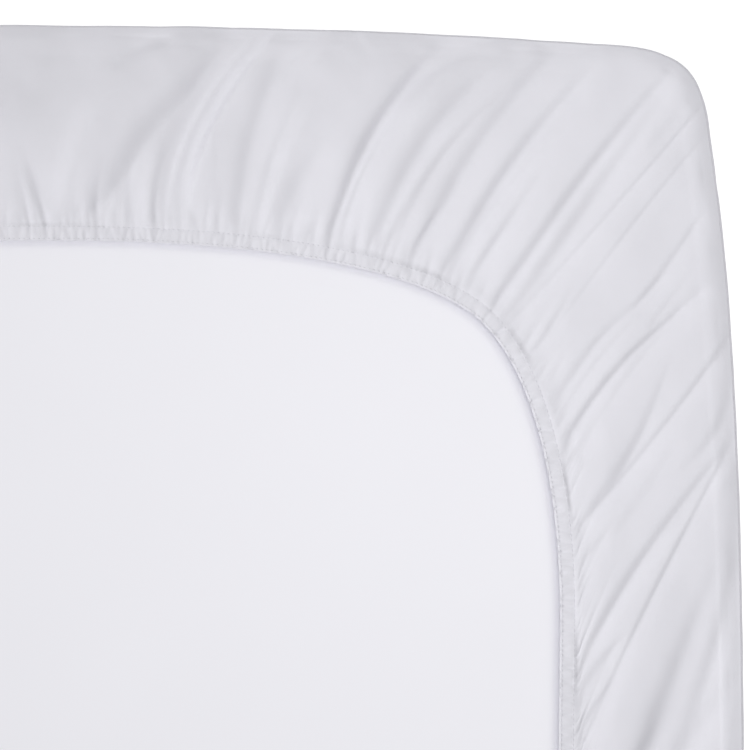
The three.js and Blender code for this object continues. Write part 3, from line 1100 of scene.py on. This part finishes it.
def build_mattress(count=640):
    outline, hem = Loop(OUTLINE_QUARTER), Loop(HEM_QUARTER)
    share = np.arange(count) / count
    places, hem_places = share * outline.length, share * hem.length
    spot, inward = outline.at(places), outline.inward(places)
    hem_spot, hem_inward = hem.at(hem_places), hem.inward(hem_places)

    def ring(inset, z):
        return np.column_stack([spot + inward * inset, np.full(count, z)])

    controls = [ring(inset, z) for inset, z in FOAM]
    rows, _ = smooth_rows(controls, [1] + [4] * (len(FOAM) - 1))
    rings = Rings()
    inside = hem_spot + hem_inward * PRESSED[0][0]
    for part in BARE_RINGS:
        rings.add(np.column_stack([inside * part, np.full(count, FOAM_TOP)]), inside * part)
    first_cap = list(range(count))
    for inset, dip in PRESSED:
        flat = hem_spot + hem_inward * inset
        rings.add(np.column_stack([flat, np.full(count, FOAM_TOP - dip)]), flat)
    around = 0.0
    for row in rows[::-1]:
        uv = np.column_stack([places, np.full(count, around)])
        rings.add(row, uv if around else row[:, :2])
        around += 6.0
    for part in UNDER_RINGS:
        rings.add(rows[0] * (part, part, 1), rows[0][:, :2] * part)
    rings.cap(first_cap, True)
    rings.cap(rings.last, False)
    return rings.piece("mattress_ticking")


# ---------------------------------------------------------------- materials


class Nodes:
    """A short way to write a material's nodes."""

    def __init__(self, name):
        self.material = bpy.data.materials.new(name)
        self.material.use_nodes = True
        self.tree = self.material.node_tree
        self.shader = next(n for n in self.tree.nodes if n.type == "BSDF_PRINCIPLED")

    def add(self, kind, **settings):
        node = self.tree.nodes.new(kind)
        for key, value in settings.items():
            if key in node.inputs:
                node.inputs[key].default_value = value
            else:
                setattr(node, key, value)
        return node

    def link(self, a, output, b, entry):
        self.tree.links.new(a.outputs[output], b.inputs[entry])

    def math(self, operation, a, b):
        node = self.add("ShaderNodeMath", operation=operation)
        for entry, value in enumerate((a, b)):
            if isinstance(value, (int, float)):
                node.inputs[entry].default_value = value
            else:
                self.tree.links.new(value, node.inputs[entry])
        return node.outputs[0]


def varied_colour(nodes, colour, share, scale):
    """A base colour that drifts a little over the cloth."""
    place = nodes.add("ShaderNodeTexCoord")
    noise = nodes.add("ShaderNodeTexNoise", Scale=scale, Detail=3.0, Roughness=0.6)
    nodes.link(place, "Object", noise, "Vector")
    ramp = nodes.add("ShaderNodeValToRGB")
    low = [c * (1 - share) for c in colour]
    high = [min(1.0, c * (1 + share)) for c in colour]
    ramp.color_ramp.elements[0].position = 0.3
    ramp.color_ramp.elements[0].color = (*low, 1)
    ramp.color_ramp.elements[1].position = 0.7
    ramp.color_ramp.elements[1].color = (*high, 1)
    nodes.link(noise, "Fac", ramp, "Fac")
    nodes.link(ramp, "Color", nodes.shader, "Base Color")


def cloth_material(colour):
    nodes = Nodes("protector_knit")
    shader = nodes.shader
    shader.inputs["Roughness"].default_value = 0.92
    shader.inputs["Specular IOR Level"].default_value = 0.2
    shader.inputs["Sheen Weight"].default_value = 0.12
    shader.inputs["Sheen Roughness"].default_value = 0.6
    varied_colour(nodes, colour, 0.012, 30.0)

    flat = nodes.add("ShaderNodeUVMap", uv_map="ClothUV")
    split = nodes.add("ShaderNodeSeparateXYZ")
    nodes.link(flat, "UV", split, "Vector")
    turns = math.tau / 0.00052
    across = nodes.math("SINE", nodes.math("MULTIPLY", split.outputs["X"], turns), 0)
    along = nodes.math("SINE", nodes.math("MULTIPLY", split.outputs["Y"], turns * 1.15), 0)
    weave = nodes.math("MULTIPLY", across, along)
    slub = nodes.add("ShaderNodeTexNoise", Scale=900.0, Detail=2.0, Roughness=0.6)
    nodes.link(flat, "UV", slub, "Vector")
    height = nodes.math("ADD", nodes.math("MULTIPLY", weave, 0.5), slub.outputs["Fac"])
    bump = nodes.add("ShaderNodeBump", Strength=0.35, Distance=0.00007)
    nodes.tree.links.new(height, bump.inputs["Height"])
    nodes.link(bump, "Normal", shader, "Normal")
    return nodes.material


def ticking_material(colour):
    nodes = Nodes("mattress_ticking")
    shader = nodes.shader
    shader.inputs["Roughness"].default_value = 0.7
    shader.inputs["Specular IOR Level"].default_value = 0.3
    varied_colour(nodes, colour, 0.006, 9.0)
    place = nodes.add("ShaderNodeTexCoord")
    grain = nodes.add("ShaderNodeTexNoise", Scale=700.0, Detail=3.0, Roughness=0.6)
    nodes.link(place, "Object", grain, "Vector")
    bump = nodes.add("ShaderNodeBump", Strength=0.18, Distance=0.0001)
    nodes.link(grain, "Fac", bump, "Height")
    nodes.link(bump, "Normal", shader, "Normal")
    return nodes.material


def thread_material(colour):
    nodes = Nodes("sewing_thread")
    shader = nodes.shader
    shader.inputs["Roughness"].default_value = 0.8
    varied_colour(nodes, colour, 0.05, 400.0)
    return nodes.material


# ---------------------------------------------------------------- operators


class MESH_OT_crib_mattress(bpy.types.Operator):
    """Build the plain mattress"""

    bl_idname = "mesh.crib_mattress"
    bl_label = "Mattress"

    def execute(self, context):
        settings = context.scene.mattress_settings
        mattress = build_mattress()
        mattress.data.materials.append(ticking_material(settings.colour))
        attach(mattress, "root")
        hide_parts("mattress")
        return {"FINISHED"}


class MESH_OT_fitted_protector(bpy.types.Operator):
    """Build the protector's cloth with its gathers, its turned hem and its stitching"""

    bl_idname = "mesh.fitted_protector"
    bl_label = "Protector"

    def execute(self, context):
        settings = context.scene.cloth_settings
        shape, cloth = build_protector(settings)
        cloth.data.materials.append(cloth_material(settings.colour))
        stitches = add_stitches(shape, settings)
        stitches.data.materials.append(thread_material(settings.thread_colour))
        for piece in (cloth, stitches):
            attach(piece, "root")
        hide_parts("protector")
        return {"FINISHED"}


# Lights in metres: size across, place, and what they point at.
KEY_LIGHT = (1.8, (-3.56, -0.44, 2.95), (0.20, 0.50, FLAP_TOP * MM))
OVERHEAD_LIGHT = (0.5, (0.34, 0.53, 0.93), (0.34, 0.53, 0.13))


class SCENE_OT_protector_stage(bpy.types.Operator):
    """Set the pale floor, the soft lights and the camera"""

    bl_idname = "scene.protector_stage"
    bl_label = "Stage"

    def execute(self, context):
        settings = context.scene.stage_settings
        scene = context.scene
        scene.view_settings.view_transform = "Standard"
        self.add_floor()
        self.add_sky(scene, settings.sky)
        self.add_light("key", settings.key, *KEY_LIGHT)
        self.add_light("overhead", settings.fill, *OVERHEAD_LIGHT)
        self.add_camera(scene, settings)
        return {"FINISHED"}

    def add_floor(self):
        deselect()
        bpy.ops.mesh.primitive_plane_add(size=24.0, location=(0, 0, 0))
        floor = bpy.context.active_object
        floor.name = "floor"
        nodes = Nodes("pale_floor")
        nodes.shader.inputs["Base Color"].default_value = (0.35, 0.35, 0.35, 1)
        nodes.shader.inputs["Roughness"].default_value = 0.9
        nodes.shader.inputs["Emission Color"].default_value = (1, 1, 1, 1)
        nodes.shader.inputs["Emission Strength"].default_value = 0.9
        floor.data.materials.append(nodes.material)

    def add_sky(self, scene, strength):
        world = bpy.data.worlds.new("soft_sky")
        world.use_nodes = True
        background = world.node_tree.nodes["Background"]
        background.inputs["Color"].default_value = (1, 1, 1, 1)
        background.inputs["Strength"].default_value = strength
        scene.world = world

    def add_light(self, name, power, size, start, target):
        light = bpy.data.lights.new(name, "AREA")
        light.shape = "DISK"
        light.size = size
        light.energy = power
        ob = bpy.data.objects.new(name, light)
        bpy.context.scene.collection.objects.link(ob)
        aim(ob, start, target)

    def add_camera(self, scene, settings):
        camera = bpy.data.cameras.new("camera")
        camera.sensor_width = 36.0
        camera.lens = camera.sensor_width * settings.camera_height / settings.view_width
        ob = bpy.data.objects.new("camera", camera)
        x, y = settings.view_centre
        ob.location = (x, y, FLAP_TOP * MM + settings.camera_height)
        scene.collection.objects.link(ob)
        scene.camera = ob


def aim(ob, start, target):
    """Put a light at a place and point it at another."""
    direction = np.asarray(target) - np.asarray(start)
    ob.location = start
    flat = math.hypot(direction[0], direction[1])
    ob.rotation_euler = (
        math.atan2(flat, -direction[2]),
        0,
        math.atan2(direction[1], direction[0]) - math.pi / 2,
    )


class VIEW3D_PT_protector(bpy.types.Panel):
    """The buttons and settings of the protector"""

    bl_label = "Fitted protector"
    bl_idname = "VIEW3D_PT_protector"
    bl_space_type = "VIEW_3D"
    bl_region_type = "UI"
    bl_category = "Protector"

    def draw(self, context):
        layout = self.layout
        for operator in OPERATORS:
            layout.operator(operator.bl_idname)
        for name in SETTINGS:
            group = getattr(context.scene, name)
            for key in group.bl_rna.properties.keys():
                if key not in ("name", "rna_type"):
                    layout.prop(group, key)


OPERATORS = (MESH_OT_crib_mattress, MESH_OT_fitted_protector, SCENE_OT_protector_stage)
SETTINGS = {
    "cloth_settings": ClothSettings,
    "mattress_settings": MattressSettings,
    "stage_settings": StageSettings,
}


def register():
    for item in (*SETTINGS.values(), *OPERATORS, VIEW3D_PT_protector):
        bpy.utils.register_class(item)
    for name, group in SETTINGS.items():
        setattr(bpy.types.Scene, name, bpy.props.PointerProperty(type=group))


def unregister():
    for name in SETTINGS:
        delattr(bpy.types.Scene, name)
    for item in (VIEW3D_PT_protector, *OPERATORS, *SETTINGS.values()):
        bpy.utils.unregister_class(item)


def main():
    register()
    bpy.ops.mesh.crib_mattress()
    bpy.ops.mesh.fitted_protector()
    bpy.ops.scene.protector_stage()
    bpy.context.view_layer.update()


if __name__ == "__main__":
    main()
